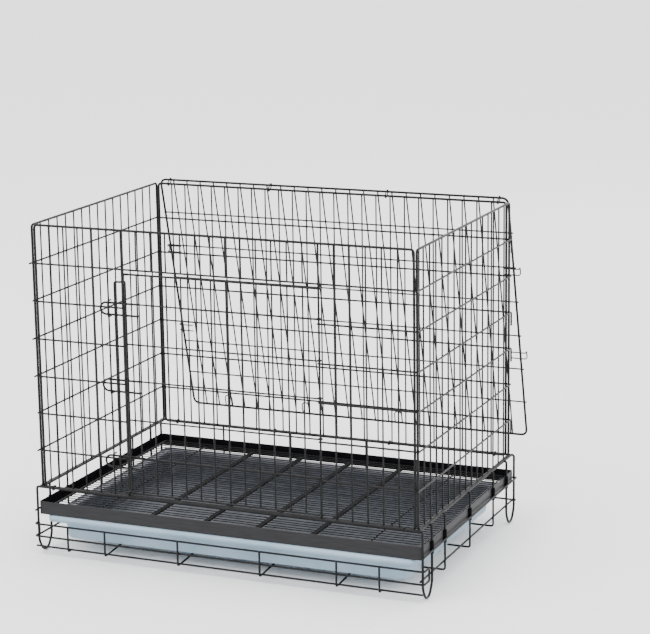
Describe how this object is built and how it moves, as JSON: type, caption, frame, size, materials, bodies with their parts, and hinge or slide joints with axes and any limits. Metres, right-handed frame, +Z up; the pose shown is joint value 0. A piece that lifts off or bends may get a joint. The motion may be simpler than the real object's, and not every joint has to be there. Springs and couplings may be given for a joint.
{
  "type": "wire rabbit cage",
  "caption": "Black wire rabbit cage on a wire stand: roof hinged open at the back, hinged front door with sliding bolts, lift-out mesh floor and a pull-out droppings tray.",
  "frame": {"origin": "on the floor, under the middle of the cage's bounding box with the roof hanging open", "axes": "+Z up, -Y out through the front door, +X towards the door's hinge side"},
  "size_m": [0.792, 0.654, 0.6477],
  "materials": {
    "wire": "satin black powder coat",
    "band": "satin charcoal",
    "tray": "satin blue-grey"
  },
  "bodies": {
    "cage": {"front_panel_left": "wire", "front_panel_right": "wire", "front_panel_top": "wire", "front_panel_sill": "wire", "back_panel": "wire", "left_panel": "wire", "right_panel": "wire", "stand_left": "wire", "stand_right": "wire", "stand_back": "wire", "stand_front_rail": "wire", "band_front": "band", "band_back": "band", "band_left": "band", "band_right": "band", "tray_rest_left_1": "wire", "tray_rest_left_2": "wire", "tray_rest_left_3": "wire", "tray_rest_right_1": "wire", "tray_rest_right_2": "wire", "tray_rest_right_3": "wire", "back_hook_1": "wire", "back_hook_2": "wire", "back_hook_3": "wire", "back_hook_4": "wire", "roof_hinge_link_1": "wire", "roof_hinge_link_2": "wire", "roof_hinge_link_3": "wire", "roof_hinge_link_4": "wire", "bolt_staple_1": "wire", "bolt_staple_2": "wire", "bolt_staple_3": "wire"},
    "door": {"door_panel": "wire", "door_loop_1": "wire", "door_loop_2": "wire", "door_loop_3": "wire", "door_loop_4": "wire", "door_loop_5": "wire", "door_loop_6": "wire", "latch_guide": "wire"},
    "bolt_low": {"door_bolt_1": "wire"},
    "bolt_middle": {"door_bolt_2": "wire"},
    "bolt_high": {"door_bolt_3": "wire"},
    "roof": {"roof_panel": "wire", "roof_front_clip_1": "wire", "roof_front_clip_2": "wire", "roof_front_clip_3": "wire", "roof_side_clip_1": "wire", "roof_side_clip_2": "wire", "roof_side_clip_3": "wire", "roof_side_clip_4": "wire"},
    "floor": {"floor_grid": "wire"},
    "drawer": {"tray": "tray", "drawer_front": "wire", "drawer_return_left": "wire", "drawer_return_right": "wire", "drawer_runner_1": "wire", "drawer_runner_2": "wire", "drawer_runner_3": "wire", "drawer_runner_4": "wire"}
  },
  "joints": [
    {"name": "door_hinge", "type": "hinge", "parent": "cage", "child": "door", "pos_m": [0.195, -0.31285, 0.348], "axis": [0, 0, 1], "range_deg": [0, 160]},
    {"name": "roof_hinge", "type": "hinge", "parent": "cage", "child": "roof", "pos_m": [0, 0.19655, 0.6429], "axis": [1, 0, 0], "range_deg": [0, 256]},
    {"name": "drawer_slide", "type": "slide", "parent": "cage", "child": "drawer", "axis": [0, -1, 0], "range_m": [0, 0.45]},
    {"name": "floor_lift", "type": "slide", "parent": "cage", "child": "floor", "axis": [0, 0, 1], "range_m": [0, 0.25]},
    {"name": "bolt_low_slide", "type": "slide", "parent": "door", "child": "bolt_low", "axis": [1, 0, 0], "range_m": [0, 0.045]},
    {"name": "bolt_middle_slide", "type": "slide", "parent": "door", "child": "bolt_middle", "axis": [1, 0, 0], "range_m": [0, 0.045]},
    {"name": "bolt_high_slide", "type": "slide", "parent": "door", "child": "bolt_high", "axis": [1, 0, 0], "range_m": [0, 0.045]}
  ]
}
